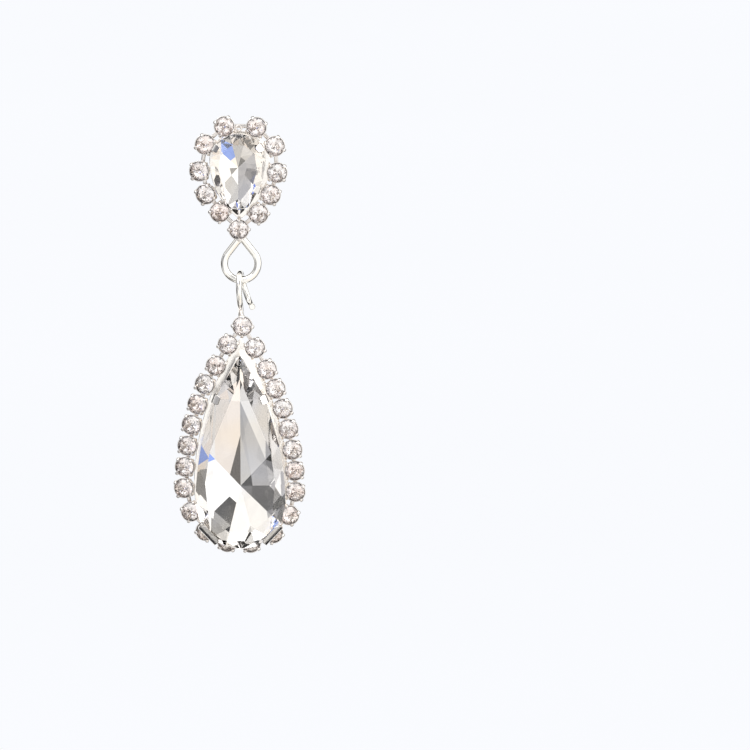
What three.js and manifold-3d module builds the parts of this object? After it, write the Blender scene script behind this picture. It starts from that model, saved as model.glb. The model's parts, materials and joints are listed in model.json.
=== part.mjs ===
// A bridal drop earring: a pear-shaped stud cluster that is pinned through the ear lobe, and a
// longer pear-shaped cluster that hangs from it by a wire loop. Each cluster is a claw setting
// with one large pear crystal, framed by a chain of small round crystals in four-claw cups.
//
// Millimetres. The pieces are modelled face on: x to the right, y up, z towards the viewer,
// with z = 0 on the flat back of the stud. The finished group is stood up at the end, so that
// +Z is up and the post points along +Y.

import * as THREE from 'three';
import Module from 'manifold-3d';

const wasm = await Module();
wasm.setup();

const DEGREE = Math.PI / 180;

// ---------------------------------------------------------------- driving dimensions

// one cup of the chain and the round stone in it; heights are above the cup's back
const CUP = {
  corners: 8,
  backRadius: 0.8,
  radius: 1.36,
  shoulder: 0.7,
  rim: 1.25,
  seatRadius: 1.24,
  seatDepth: 0.3,
};
const PRONG = { inner: 1.21, outer: 1.46, tipInner: 1.02, tipOuter: 1.28, halfWidth: 0.17 };
const PRONG_HEIGHTS = { foot: 0.8, knee: 1.5, tip: 1.75 };
const ROUND_STONE = { radius: 1.18, culet: 0.45, girdle: 1.3, girdleThickness: 0.1 };
const ROUND_TABLE = { radius: 0.66, height: 1.82 };

// the stud: ring of cups, pear crystal and claw setting, point down
const STUD = {
  point: -1,
  ring: { x: 0, y: 0, round: 5.07, reach: 9.11 },
  pitches: [3.4, 3.0, 3.1, 3.58, 3.58],
  shift: -0.13,
  leaning: [2, 3],
  plate: { inset: 0.45, thickness: 0.5 },
  stone: { x: -0.19, y: 0.25, round: 3.56, reach: 7.4, tip: 0.4 },
  heights: { culet: 0.75, girdle: 2.2, crown: 2.4, table: 3.35 },
  culetShift: 1.0,
  table: { round: 2.6, reach: 5.3, tip: 0.2, shift: 0.35 },
  wall: [
    { height: 0.3, inset: 0.9 },
    { height: 1.9, inset: 0.25 },
  ],
  upperClaw: { along: 10.4, halfWidth: 0.6, lap: 0.62 },
  lowerClaw: { along: 4.5, halfWidth: 0.55, lap: 0.62 },
};

// the drop: the same build, point up; its own back plane is found from its balance
const DROP = {
  point: 1,
  ring: { x: 0, y: -44.43, round: 7.27, reach: 22.17 },
  pitches: [3.26, 3.26, 2.86, 2.86, 2.86, 2.86, 2.86, 2.86, 3.3, 3.3, 3.3],
  shift: 0.27,
  leaning: [3, 4, 5, 6, 7, 8],
  plate: { inset: 0.45, thickness: 0.5 },
  stone: { x: 0, y: -45.9, round: 6.0, reach: 20.19, tip: 1.0 },
  heights: { culet: 0.75, girdle: 3.9, crown: 4.15, table: 5.6 },
  culetShift: 2.4,
  table: { round: 4.73, reach: 15.4, tip: 0.3, shift: 1.03 },
  wall: [
    { height: 0.3, inset: 2.3 },
    { height: 1.95, inset: 1.5 },
    { height: 3.5, inset: 0.3 },
  ],
  upperClaw: { along: 6.95, halfWidth: 0.68, lap: 0.62 },
  lowerClaw: { along: 26.15, halfWidth: 1.7, lap: 0.75 },
};
const WALL_THICKNESS = 0.3;
const LEAST_TIP = 0.05; // a rounded point never gets sharper than this when it is moved inwards

// a claw starts in the collet's wall under the girdle, passes it with a gap and laps the crown
const CLAW = {
  gap: 0.06,
  thickness: 0.26,
  foot: { inset: 0.62, outerInset: 0.4, drop: 0.62, outerDrop: 0.9 },
  shoulder: { drop: 0.2, rise: 0.18 },
  tipBevel: 0.14,
};
const LEAN = 14 * DEGREE;
const LEAN_LIFT = 0.2;

// the post that goes through the lobe, the wire eye under the stud and the loop on the drop
const POST = { radius: 0.4, length: 11, sunk: 0.3 };
const EYE = { x: 0.15, y: -13.72, z: 0.75, radius: 2.23, wire: 0.5, top: -10.3 };
const LOOP_WIRE = 0.4;
const LOOP_PLAY = 0.08;
const DROP_BALANCE = 1.99; // the drop's centre of mass, in front of its own back plane
const PIVOT = new THREE.Vector3(EYE.x, EYE.y - EYE.radius, EYE.z);
const DROP_BACK = PIVOT.z - DROP_BALANCE;

const SILVER = { color: 0xdcdee2, metalness: 1.0, roughness: 0.14 };
const CRYSTAL = { color: 0xf1f3f6, metalness: 0.0, roughness: 0.02 };

// ---------------------------------------------------------------- closed meshes and joins

/** A closed mesh through rings of points; a ring of one point is an apex. */
function loft(rings) {
  const positions = [];
  const starts = [];
  for (const ring of rings) {
    starts.push(positions.length / 3);
    ring.forEach((point) => positions.push(point.x, point.y, point.z));
  }
  const faces = [];
  for (let r = 0; r + 1 < rings.length; r += 1) {
    const lower = rings[r].length;
    const upper = rings[r + 1].length;
    const count = Math.max(lower, upper);
    for (let i = 0; i < count; i += 1) {
      const next = (i + 1) % count;
      if (lower > 1) faces.push(starts[r] + i, starts[r] + next, starts[r + 1] + (next % upper));
      if (upper > 1) faces.push(starts[r] + (i % lower), starts[r + 1] + next, starts[r + 1] + i);
    }
  }
  const last = rings.length - 1;
  for (let i = 1; i + 1 < rings[0].length; i += 1) {
    faces.push(0, i + 1, i);
  }
  for (let i = 1; i + 1 < rings[last].length; i += 1) {
    faces.push(starts[last], starts[last] + i, starts[last] + i + 1);
  }
  const geometry = new THREE.BufferGeometry();
  geometry.setAttribute('position', new THREE.Float32BufferAttribute(positions, 3));
  geometry.setIndex(faces);
  return geometry;
}

function toSolid(geometry) {
  const mesh = new wasm.Mesh({
    numProp: 3,
    vertProperties: new Float32Array(geometry.attributes.position.array),
    triVerts: new Uint32Array(geometry.index.array),
  });
  return new wasm.Manifold(mesh);
}

/** Solders several closed meshes into one. */
function solder(geometries) {
  const joined = geometries.map(toSolid).reduce((whole, piece) => whole.add(piece));
  const mesh = joined.getMesh();
  const geometry = new THREE.BufferGeometry();
  geometry.setAttribute('position', new THREE.Float32BufferAttribute(mesh.vertProperties, 3));
  geometry.setIndex(new THREE.Uint32BufferAttribute(mesh.triVerts, 1));
  return geometry;
}

function regularRing(corners, radius, height) {
  return Array.from({ length: corners }, (_, i) => {
    const angle = (2 * Math.PI * i) / corners;
    return new THREE.Vector3(radius * Math.cos(angle), radius * Math.sin(angle), height);
  });
}

/** A wire along points; across is a direction that the path never runs along. */
function wire(points, radius, across) {
  const sides = 10;
  const rings = points.map((point, i) => {
    const before = points[Math.max(i - 1, 0)];
    const after = points[Math.min(i + 1, points.length - 1)];
    const tangent = after.clone().sub(before).normalize();
    const normal = across.clone().cross(tangent).normalize();
    const binormal = tangent.clone().cross(normal);
    return Array.from({ length: sides }, (_, k) => {
      const angle = (2 * Math.PI * k) / sides;
      return point
        .clone()
        .addScaledVector(normal, radius * Math.cos(angle))
        .addScaledVector(binormal, radius * Math.sin(angle));
    });
  });
  return loft(rings);
}

// ---------------------------------------------------------------- the pear outline

/** Two side arcs that meet in a point, sharp or a little round, and a round end about the centre. */
class Pear {
  constructor({ x = 0, y = 0, round, reach, tip = 0 }, point) {
    this.centre = new THREE.Vector2(x, y);
    this.round = round;
    this.reach = reach;
    this.tip = tip;
    this.point = point;
    this.coreRound = round - tip;
    const coreReach = reach - tip;
    this.side = (this.coreRound ** 2 + coreReach ** 2) / (2 * this.coreRound);
    this.sideAngle = Math.asin(coreReach / this.side);
    this.tipLength = tip * (Math.PI / 2 - this.sideAngle);
    this.sideEnd = this.tipLength + (this.side + tip) * this.sideAngle;
    this.half = this.sideEnd + (round * Math.PI) / 2;
  }

  /** The same outline moved inwards by a distance; a rounded point stays a little round. */
  inset(distance) {
    const tip = Math.max(this.tip - distance, Math.min(this.tip, LEAST_TIP));
    const moved = distance - (this.tip - tip);
    const coreReach = Math.sqrt((this.side - moved) ** 2 - (this.side - this.coreRound) ** 2);
    const { x, y } = this.centre;
    const round = this.coreRound - moved + tip;
    return new Pear({ x, y, round, reach: coreReach + tip, tip }, this.point);
  }

  /** Place and outward direction at a distance from the point; positive is the right side. */
  at(distance) {
    const along = Math.abs(distance);
    const hand = distance < 0 ? -1 : 1;
    let angle = (this.sideEnd - along) / this.round;
    let radius = this.round;
    const centre = new THREE.Vector2(0, 0);
    if (along < this.tipLength) {
      angle = Math.PI / 2 - along / this.tip;
      radius = this.tip;
      centre.y = this.point * (this.reach - this.tip);
    } else if (along < this.sideEnd) {
      angle = (this.sideEnd - along) / (this.side + this.tip);
      radius = this.side + this.tip;
      centre.x = hand * (this.coreRound - this.side);
    }
    const outward = new THREE.Vector2(hand * Math.cos(angle), this.point * Math.sin(angle));
    const place = outward.clone().multiplyScalar(radius).add(centre).add(this.centre);
    return { place, outward };
  }

  /** A ring of points at a height, counter-clockwise seen from the front. */
  ring(height, sideSteps = 5, roundSteps = 4) {
    const stations = this.tip > 0 ? [0, this.tipLength / 2, this.tipLength] : [0];
    const sideLength = this.sideEnd - this.tipLength;
    for (let i = 1; i <= sideSteps; i += 1) {
      stations.push(this.tipLength + (sideLength * i) / sideSteps);
    }
    const quarter = this.half - this.sideEnd;
    for (let i = 1; i <= roundSteps; i += 1) {
      stations.push(this.sideEnd + (quarter * i) / roundSteps);
    }
    const left = stations.slice(1).map((station) => -station);
    const right = stations.slice(1, -1).reverse();
    const places = [...stations.slice(0, 1), ...left, ...right].map((s) => this.at(s).place);
    if (this.point < 0) places.reverse();
    return places.map((place) => new THREE.Vector3(place.x, place.y, height));
  }
}

// ---------------------------------------------------------------- cups and round stones

/** Where each cup of a chain sits, from the point round both sides. */
function cupPlaces(cluster) {
  const ring = new Pear(cluster.ring, cluster.point);
  const places = [{ ...ring.at(0), turn: 45 * DEGREE, lean: 0 }];
  places[0].place.x += cluster.shift;
  places[0].outward.set(0, cluster.point);
  for (const hand of [-1, 1]) {
    let along = 0;
    cluster.pitches.forEach((pitch, i) => {
      along += pitch;
      const lean = hand < 0 && cluster.leaning.includes(i + 1) ? LEAN : 0;
      places.push({ ...ring.at(hand * along + cluster.shift), turn: 0, lean });
    });
  }
  return places;
}

/** Moves a cup or its stone from the middle of the chain's plane to its place. */
function seat({ place, outward, turn, lean }) {
  const heading = Math.atan2(outward.y, outward.x) + turn;
  return new THREE.Matrix4()
    .makeTranslation(place.x, place.y, lean ? LEAN_LIFT : 0)
    .multiply(new THREE.Matrix4().makeRotationZ(heading))
    .multiply(new THREE.Matrix4().makeRotationY(lean));
}

function cupBody() {
  const { corners, backRadius, radius, shoulder, rim, seatRadius, seatDepth } = CUP;
  return loft([
    regularRing(corners, backRadius, 0),
    regularRing(corners, radius, shoulder),
    regularRing(corners, radius, rim),
    regularRing(corners, seatRadius, rim),
    [new THREE.Vector3(0, 0, seatDepth)],
  ]);
}

function cupProng(index) {
  const section = (inner, outer, height) => [
    new THREE.Vector3(inner, -PRONG.halfWidth, height),
    new THREE.Vector3(outer, -PRONG.halfWidth, height),
    new THREE.Vector3(outer, PRONG.halfWidth, height),
    new THREE.Vector3(inner, PRONG.halfWidth, height),
  ];
  const prong = loft([
    section(PRONG.inner, PRONG.outer, PRONG_HEIGHTS.foot),
    section(PRONG.inner, PRONG.outer, PRONG_HEIGHTS.knee),
    section(PRONG.tipInner, PRONG.tipOuter, PRONG_HEIGHTS.tip),
  ]);
  return prong.rotateZ((45 + 90 * index) * DEGREE);
}

function cups(cluster) {
  return cupPlaces(cluster).flatMap((cup) => {
    const pieces = [cupBody(), ...[0, 1, 2, 3].map(cupProng)];
    return pieces.map((piece) => piece.applyMatrix4(seat(cup)));
  });
}

function roundStone(cup) {
  const { radius, culet, girdle, girdleThickness } = ROUND_STONE;
  return loft([
    [new THREE.Vector3(0, 0, culet)],
    regularRing(CUP.corners, radius, girdle),
    regularRing(CUP.corners, radius, girdle + girdleThickness),
    regularRing(CUP.corners, ROUND_TABLE.radius, ROUND_TABLE.height),
  ]).applyMatrix4(seat(cup));
}

// ---------------------------------------------------------------- pear crystal and claw setting

function pearStone(cluster) {
  const { stone, heights, table, point } = cluster;
  const outline = new Pear(stone, point);
  const top = new Pear({ ...table, x: stone.x, y: stone.y + point * table.shift }, point);
  const culet = new THREE.Vector3(stone.x, stone.y + point * cluster.culetShift, heights.culet);
  return loft([
    [culet],
    outline.ring(heights.girdle),
    outline.ring(heights.crown),
    top.ring(heights.table),
  ]);
}

/** The setting's wall, an open pear-shaped collet on the back plate. */
function collet(cluster) {
  const outline = new Pear(cluster.stone, cluster.point);
  const outside = cluster.wall.map(({ height, inset }) => outline.inset(inset).ring(height));
  const inside = cluster.wall.map(({ height, inset }) =>
    outline.inset(inset + WALL_THICKNESS).ring(height),
  );
  return loft([...outside, ...inside.reverse()]);
}

function backPlate(cluster) {
  const outline = new Pear(cluster.ring, cluster.point).inset(cluster.plate.inset);
  return loft([outline.ring(0), outline.ring(cluster.plate.thickness)]);
}

/** A claw that climbs out of the collet, round the girdle and over the edge of the crown. */
function claw(cluster, { along, halfWidth, lap }) {
  const { girdle, crown, table } = cluster.heights;
  const { gap, thickness, foot, shoulder, tipBevel } = CLAW;
  const edge = new Pear(cluster.stone, cluster.point).at(along);
  const slope = (table - crown) / (cluster.stone.round - cluster.table.round);
  const tip = crown + lap * slope + 2 * gap;
  const profile = [
    {
      out: -foot.inset,
      up: girdle - foot.drop,
      outOuter: -foot.outerInset,
      upOuter: girdle - foot.outerDrop,
    },
    { out: gap, up: girdle - gap, outOuter: gap + thickness, upOuter: girdle - shoulder.drop },
    { out: gap, up: crown + gap, outOuter: gap + thickness, upOuter: crown + shoulder.rise },
    { out: -lap, up: tip, outOuter: -lap + tipBevel, upOuter: tip + thickness },
  ];
  const side = new THREE.Vector2(-edge.outward.y, edge.outward.x);
  const corner = (out, across, up) => {
    const flat = edge.place.clone().addScaledVector(edge.outward, out).addScaledVector(side, across);
    return new THREE.Vector3(flat.x, flat.y, up);
  };
  return loft(
    profile.map(({ out, up, outOuter, upOuter }) => [
      corner(out, -halfWidth, up),
      corner(outOuter, -halfWidth, upOuter),
      corner(outOuter, halfWidth, upOuter),
      corner(out, halfWidth, up),
    ]),
  );
}

function claws(cluster) {
  return [cluster.upperClaw, cluster.lowerClaw].flatMap((size) => [
    claw(cluster, { ...size, along: -size.along }),
    claw(cluster, size),
  ]);
}

function setting(cluster) {
  return [backPlate(cluster), collet(cluster), ...claws(cluster)];
}

// ---------------------------------------------------------------- post, eye and loop

function post() {
  const rings = [
    regularRing(12, POST.radius * 0.5, -POST.length),
    regularRing(12, POST.radius, -POST.length + 0.3),
    regularRing(12, POST.radius, POST.sunk),
  ];
  return loft(rings);
}

/** One side of the wire eye: straight down from the stud's lowest cup, then round the bottom. */
function eyeStrand(hand) {
  const fromTop = EYE.top - EYE.y;
  const tangency = Math.acos(EYE.radius / fromTop);
  const steps = 10;
  const overrun = 0.05;
  const points = [new THREE.Vector3(EYE.x, EYE.top, EYE.z)];
  for (let i = 0; i <= steps; i += 1) {
    const angle = tangency + ((Math.PI - tangency + overrun) * i) / steps;
    const x = EYE.x + hand * EYE.radius * Math.sin(angle);
    points.push(new THREE.Vector3(x, EYE.y + EYE.radius * Math.cos(angle), EYE.z));
  }
  return wire(points, EYE.wire, new THREE.Vector3(0, 0, 1));
}

/**
 * The loop on the drop, one turn of wire seen edge on: from its foot on the top cup, up in front,
 * over the eye's lower wire and down behind, where it drifts to the right and ends cut off.
 */
function loop() {
  const top = PIVOT.y + EYE.wire + LOOP_WIRE + LOOP_PLAY;
  const route = [
    { x: 0.1, down: 6.2, forward: -1.25 },
    { x: 0.06, down: 5.15, forward: -0.5 },
    { x: 0.0, down: 3.9, forward: 1.1 },
    { x: -0.12, down: 2.1, forward: 1.62 },
    { x: -0.1, down: 0.55, forward: 1.02 },
    { x: 0.0, down: 0, forward: 0 },
    { x: 0.16, down: 0.55, forward: -1.02 },
    { x: 0.5, down: 2.1, forward: -1.62 },
    { x: 1.05, down: 3.7, forward: -1.35 },
    { x: 1.5, down: 4.45, forward: -0.5 },
    { x: 1.62, down: 4.55, forward: 0.2 },
  ];
  const knots = route.map(
    ({ x, down, forward }) => new THREE.Vector3(x, top - down, PIVOT.z + forward),
  );
  const curve = new THREE.CatmullRomCurve3(knots, false, 'centripetal');
  return wire(curve.getSpacedPoints(30), LOOP_WIRE, new THREE.Vector3(1, 0, 0));
}

// ---------------------------------------------------------------- the earring

function addMesh(parent, name, geometry, look) {
  geometry.computeVertexNormals();
  const mesh = new THREE.Mesh(geometry, new THREE.MeshStandardMaterial(look));
  mesh.name = name;
  parent.add(mesh);
}

/** The pear crystal and the round crystals of one cluster, each a piece of its own. */
function addStones(parent, cluster, prefix) {
  addMesh(parent, `${prefix}_stone`, pearStone(cluster), CRYSTAL);
  cupPlaces(cluster).forEach((cup, i) => {
    const number = String(i + 1).padStart(2, '0');
    addMesh(parent, `${prefix}_brilliant_${number}`, roundStone(cup), CRYSTAL);
  });
}

const group = new THREE.Group();
group.rotation.x = Math.PI / 2;

const stud = new THREE.Group();
const studParts = [...setting(STUD), ...cups(STUD), post()];
studParts.push(eyeStrand(-1), eyeStrand(1));
addMesh(stud, 'stud_frame', solder(studParts), SILVER);
addStones(stud, STUD, 'stud');
group.add(stud);

const drop = new THREE.Group();
drop.position.z = DROP_BACK;
const dropParts = [...setting(DROP), ...cups(DROP)];
dropParts.push(loop().translate(0, 0, -DROP_BACK));
addMesh(drop, 'drop_frame', solder(dropParts), SILVER);
addStones(drop, DROP, 'drop');
group.add(drop);

export default group;
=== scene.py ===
# %% [markdown]
# # A pear crystal drop earring
#
# The earring is two clusters of silver-plated metal and cut glass: a stud that is pinned through
# the ear lobe, and a longer drop that swings from it on a wire loop. This lesson dresses the
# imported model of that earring. It keeps every size and place of the model and gives each part
# its real surface: thin round cups with bent prongs, drawn wire, and glass cut into facets.

import json
import math
import random

import bmesh
import bpy
from mathutils import Matrix, Vector


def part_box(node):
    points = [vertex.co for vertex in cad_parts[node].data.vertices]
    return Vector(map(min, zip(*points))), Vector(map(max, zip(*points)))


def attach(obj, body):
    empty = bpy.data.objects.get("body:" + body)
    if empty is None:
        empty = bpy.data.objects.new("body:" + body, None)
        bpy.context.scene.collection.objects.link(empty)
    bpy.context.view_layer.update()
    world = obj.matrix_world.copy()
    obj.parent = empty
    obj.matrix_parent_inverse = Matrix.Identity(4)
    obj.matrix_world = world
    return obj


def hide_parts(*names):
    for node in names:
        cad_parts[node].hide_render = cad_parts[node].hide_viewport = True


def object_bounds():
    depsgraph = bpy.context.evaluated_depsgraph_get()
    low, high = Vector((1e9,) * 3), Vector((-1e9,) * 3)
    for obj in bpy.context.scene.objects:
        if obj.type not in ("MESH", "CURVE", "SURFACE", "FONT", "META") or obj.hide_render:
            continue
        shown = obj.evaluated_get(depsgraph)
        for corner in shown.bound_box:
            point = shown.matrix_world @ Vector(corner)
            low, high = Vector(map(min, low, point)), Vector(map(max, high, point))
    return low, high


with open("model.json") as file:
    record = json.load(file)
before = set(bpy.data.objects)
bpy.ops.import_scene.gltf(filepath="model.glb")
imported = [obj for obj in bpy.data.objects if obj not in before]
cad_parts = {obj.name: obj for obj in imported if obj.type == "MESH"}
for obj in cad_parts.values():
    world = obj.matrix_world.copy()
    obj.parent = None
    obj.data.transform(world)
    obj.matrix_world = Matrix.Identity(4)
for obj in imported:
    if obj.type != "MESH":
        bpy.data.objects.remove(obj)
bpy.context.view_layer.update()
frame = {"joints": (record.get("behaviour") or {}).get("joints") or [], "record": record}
MM = 0.001
record = frame["record"]
bodies = record["behaviour"]["bodies"]
print("bodies:", {body: len(nodes) for body, nodes in bodies.items()})

# %% [markdown]
# ## Camera
#
# Jewellery is shown with a long lens from a little above, so that it keeps its proportions and
# the large crystals hide the backs of the cups under them. The camera looks along +Y and the
# earring hangs left of the middle, with room beside it. A long lens far away does this; a short
# lens close by would make the drop bulge.

# %% Camera
CAMERA_HEIGHT_ANGLE = math.radians(9)
CAMERA_DISTANCE = 0.8
VIEW_WIDTH = 0.1
VIEW_CENTRE = Vector((17.93 * MM, 0, -28.83 * MM))

camera_data = bpy.data.cameras.new("studio_camera")
camera_data.sensor_width = 36
camera_data.lens = camera_data.sensor_width * CAMERA_DISTANCE / VIEW_WIDTH
camera_data.clip_start = 0.01
camera_data.clip_end = 20
camera = bpy.data.objects.new("studio_camera", camera_data)
bpy.context.scene.collection.objects.link(camera)
towards_camera = Vector((0, -math.cos(CAMERA_HEIGHT_ANGLE), math.sin(CAMERA_HEIGHT_ANGLE)))
camera.location = VIEW_CENTRE + towards_camera * CAMERA_DISTANCE
camera.rotation_euler = (-towards_camera).to_track_quat("-Z", "Y").to_euler()
bpy.context.scene.camera = camera
print("lens:", round(camera_data.lens), "mm")

# %% [markdown]
# ## Small helpers
#
# The clusters are flat and face the viewer, so they are easiest to describe face on: x to the
# right, y up and z towards the viewer, in millimetres. One function turns such a point into the
# model's frame, where the face looks along -Y and up is +Z. A second one makes a closed skin
# through rings of points, which is enough for walls, prongs, claws and wires.


# %% Points and skins
def from_face(x, y, z):
    return Vector((x, -z, y)) * MM


def to_face(point):
    return Vector((point.x, point.z, -point.y)) / MM


def mesh_object(name, points, faces, materials, smooth):
    mesh = bpy.data.meshes.new(name)
    mesh.from_pydata([tuple(p) for p in points], [], faces)
    for material in materials:
        mesh.materials.append(material)
    mesh.validate()
    made = bpy.data.objects.new(name, mesh)
    bpy.context.scene.collection.objects.link(made)
    cleaned = bmesh.new()
    cleaned.from_mesh(mesh)
    bmesh.ops.recalc_face_normals(cleaned, faces=cleaned.faces)
    cleaned.to_mesh(mesh)
    cleaned.free()
    mesh.shade_smooth() if smooth else mesh.shade_flat()
    return made


def skin(rings, closed=False):
    """Points and faces of a tube through rings of equally many points, capped unless closed."""
    count = len(rings[0])
    points = [point for ring in rings for point in ring]
    faces = []
    for r in range(len(rings) if closed else len(rings) - 1):
        lower, upper = r * count, (r + 1) % len(rings) * count
        for i in range(count):
            after = (i + 1) % count
            faces.append((lower + i, lower + after, upper + after, upper + i))
    if not closed:
        faces.append(tuple(reversed(range(count))))
        faces.append(tuple(range((len(rings) - 1) * count, len(rings) * count)))
    return points, faces


def merge_parts(parts):
    """Joins several (points, faces) into one."""
    points, faces = [], []
    for part_points, part_faces in parts:
        start = len(points)
        points += part_points
        faces += [tuple(start + i for i in face) for face in part_faces]
    return points, faces


def smooth_by_angle(made, degrees):
    """Rounds the shading where faces meet gently and keeps sharp edges sharp."""
    made.data.shade_smooth()
    sharp = made.data.attributes.new("sharp_edge", "BOOLEAN", "EDGE")
    bm = bmesh.new()
    bm.from_mesh(made.data)
    bm.edges.ensure_lookup_table()
    flags = [
        len(edge.link_faces) == 2 and edge.calc_face_angle(0) > math.radians(degrees)
        for edge in bm.edges
    ]
    bm.free()
    sharp.data.foreach_set("value", flags)


# %% [markdown]
# ## The pear outline
#
# Crystal, setting and cup chain all follow a pear: two wide arcs that meet in a point, closed by
# a round end. The node's box gives its width and height, and a pear has only one pair of side
# arcs that fits them, so the outline is worked out instead of traced.


# %% Pear outline
LEAST_TIP = 0.05


class Pear:
    def __init__(self, x, y, round_radius, reach, point, tip=0.0):
        self.x, self.y, self.point, self.tip = x, y, point, tip
        self.round, self.reach = round_radius, reach
        self.core = round_radius - tip
        core_reach = reach - tip
        self.side = (self.core**2 + core_reach**2) / (2 * self.core)
        self.side_angle = math.asin(core_reach / self.side)
        self.tip_length = tip * (math.pi / 2 - self.side_angle)
        self.side_end = self.tip_length + (self.side + tip) * self.side_angle
        self.half = self.side_end + round_radius * math.pi / 2

    def inset(self, distance):
        tip = max(self.tip - distance, min(self.tip, LEAST_TIP))
        moved = distance - (self.tip - tip)
        core_reach = math.sqrt((self.side - moved) ** 2 - (self.side - self.core) ** 2)
        return Pear(self.x, self.y, self.core - moved + tip, core_reach + tip, self.point, tip)

    def at(self, distance):
        """(x, y) and the outward direction at a distance from the point; right is positive."""
        along, hand = abs(distance), -1 if distance < 0 else 1
        shift_x, shift_y = 0, 0
        angle, radius = (self.side_end - along) / self.round, self.round
        if along < self.tip_length:
            angle, radius = math.pi / 2 - along / self.tip, self.tip
            shift_y = self.point * (self.reach - self.tip)
        elif along < self.side_end:
            angle, radius = (self.side_end - along) / (self.side + self.tip), self.side + self.tip
            shift_x = hand * (self.core - self.side)
        out = (hand * math.cos(angle), self.point * math.sin(angle))
        return (self.x + shift_x + radius * out[0], self.y + shift_y + radius * out[1]), out

    def towards(self, start, degrees):
        """Where a ray from start, at an angle above the horizontal, meets the right side."""
        direction = Vector((math.cos(math.radians(degrees)), math.sin(math.radians(degrees))))
        low, high = 0.0, self.half

        def turned(distance):
            (x, y), _ = self.at(distance)
            return Vector((x - start[0], self.point * (y - start[1]))).cross(direction)

        for _ in range(50):
            middle = (low + high) / 2
            low, high = (middle, high) if turned(middle) < 0 else (low, middle)
        return (low + high) / 2

    def ring(self, steps):
        stations = [self.half * (2 * i / steps - 1) for i in range(steps)]
        return [self.at(s)[0] for s in stations]


def pear_of_stone(node, point, tip):
    low, high = (to_face(corner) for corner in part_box(node))
    width, height = high.x - low.x, high.y - low.y
    middle = (low.x + high.x) / 2
    round_radius = width / 2
    centre_y = min(low.y, high.y) + round_radius if point > 0 else max(low.y, high.y) - round_radius
    return Pear(middle, centre_y, round_radius, height - round_radius, point, tip)


stud_pear = pear_of_stone("stud_stone", -1, 0.4)
drop_pear = pear_of_stone("drop_stone", 1, 1.0)
print("stud crystal:", round(2 * stud_pear.round, 2), "mm wide")
print("drop crystal:", round(2 * drop_pear.round, 2), "mm wide")

# %% [markdown]
# ## Where the cups are
#
# The model holds one round crystal for each cup, so the middle of each crystal says where its
# cup goes. The chain runs from one side of the cluster, through the cup at the point, to the
# other. The line through a cup's two neighbours gives its direction, and the side away from the
# crystal is outwards. Some cups of a hand-wrapped chain roll outwards a little, and their
# crystals take more depth, which tells them from the upright ones.

# %% Cup places
CUP_LEAN = math.radians(14)
UPRIGHT_DEPTH = 1.42
CULET_HEIGHT = 0.45
LEANING_SHIFT = 0.28


def back_plane(cluster):
    """Height of the cluster's back, found from the upright crystal at the point."""
    low, high = (to_face(corner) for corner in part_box(f"{cluster}_brilliant_01"))
    return min(low.z, high.z) - CULET_HEIGHT


def chain_order(cluster):
    names = sorted(n for n in bodies[cluster] if "brilliant" in n)
    side = (len(names) - 1) // 2
    return names[side:0:-1] + names[:1] + names[side + 1 :]


def cup_places(cluster, pear):
    """For each cup of the chain: its middle on the back plane, where it faces and its outside."""
    names = chain_order(cluster)
    boxes = [[to_face(corner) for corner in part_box(name)] for name in names]
    middles = [(low + high) / 2 for low, high in boxes]
    heart = Vector((pear.x, pear.y, 0))
    back = back_plane(cluster)
    places = []
    for i, (middle, (low, high)) in enumerate(zip(middles, boxes)):
        chord = middles[(i + 1) % len(middles)] - middles[i - 1]
        outward = Vector((chord.y, -chord.x, 0)).normalized()
        if outward.dot(middle - heart) < 0:
            outward.negate()
        at_point = i == len(middles) // 2
        if at_point:
            outward = Vector((math.sqrt(0.5), math.sqrt(0.5), 0))
        leaning = abs(high.z - low.z) > UPRIGHT_DEPTH
        face = Vector((0, 0, 1))
        if leaning:
            face = outward * math.sin(CUP_LEAN) + face * math.cos(CUP_LEAN)
        shift = LEANING_SHIFT if leaning else 0
        base = Vector((middle.x, middle.y, back)) - outward * shift
        base.z += 0.2 if leaning else 0
        places.append({"base": base, "face": face, "outward": outward, "name": names[i]})
    return places


stud_cups = cup_places("stud", stud_pear)
drop_cups = cup_places("drop", drop_pear)
print("cups:", len(stud_cups), "on the stud and", len(drop_cups), "on the drop")

# %% [markdown]
# ## Silver plate
#
# The metal is a polished alloy under a thin bright plating. It mirrors the studio, but never
# perfectly: handling leaves hair scratches, and the plating is a little duller and warmer in
# some places. One shader does it: a full metal whose roughness follows a soft noise, with fine
# stretched noise as bump for the scratches. The noises read Object coordinates, in metres, so
# their scales are large numbers. Polish never reaches the narrow seat round a small stone, and
# the seat, the ends of the prongs and the links are painted darker: partly tarnish, partly painted
# shade where those crevices lie in shadow. An attribute of the cups and links says how much.


# %% Material helpers
def new_material(name):
    material = bpy.data.materials.new(name)
    material.use_nodes = True
    nodes = material.node_tree.nodes
    return material, nodes, material.node_tree.links, nodes["Principled BSDF"]


def object_noise(nodes, links, scale, detail=2.0, stretch=(1, 1, 1), turn=(0, 0, 0)):
    place = nodes.new("ShaderNodeTexCoord")
    mapping = nodes.new("ShaderNodeMapping")
    mapping.inputs["Scale"].default_value = stretch
    mapping.inputs["Rotation"].default_value = turn
    noise = nodes.new("ShaderNodeTexNoise")
    noise.inputs["Scale"].default_value = scale
    noise.inputs["Detail"].default_value = detail
    links.new(place.outputs["Object"], mapping.inputs["Vector"])
    links.new(mapping.outputs["Vector"], noise.inputs["Vector"])
    return noise


def ramp_between(nodes, links, source, low, high, start=0.3, end=0.7):
    """Maps a noise onto two colours, as a ramp."""
    ramp = nodes.new("ShaderNodeValToRGB")
    ramp.color_ramp.elements[0].position = start
    ramp.color_ramp.elements[1].position = end
    ramp.color_ramp.elements[0].color = (*low, 1)
    ramp.color_ramp.elements[1].color = (*high, 1)
    links.new(source, ramp.inputs["Fac"])
    return ramp.outputs["Color"]


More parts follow.
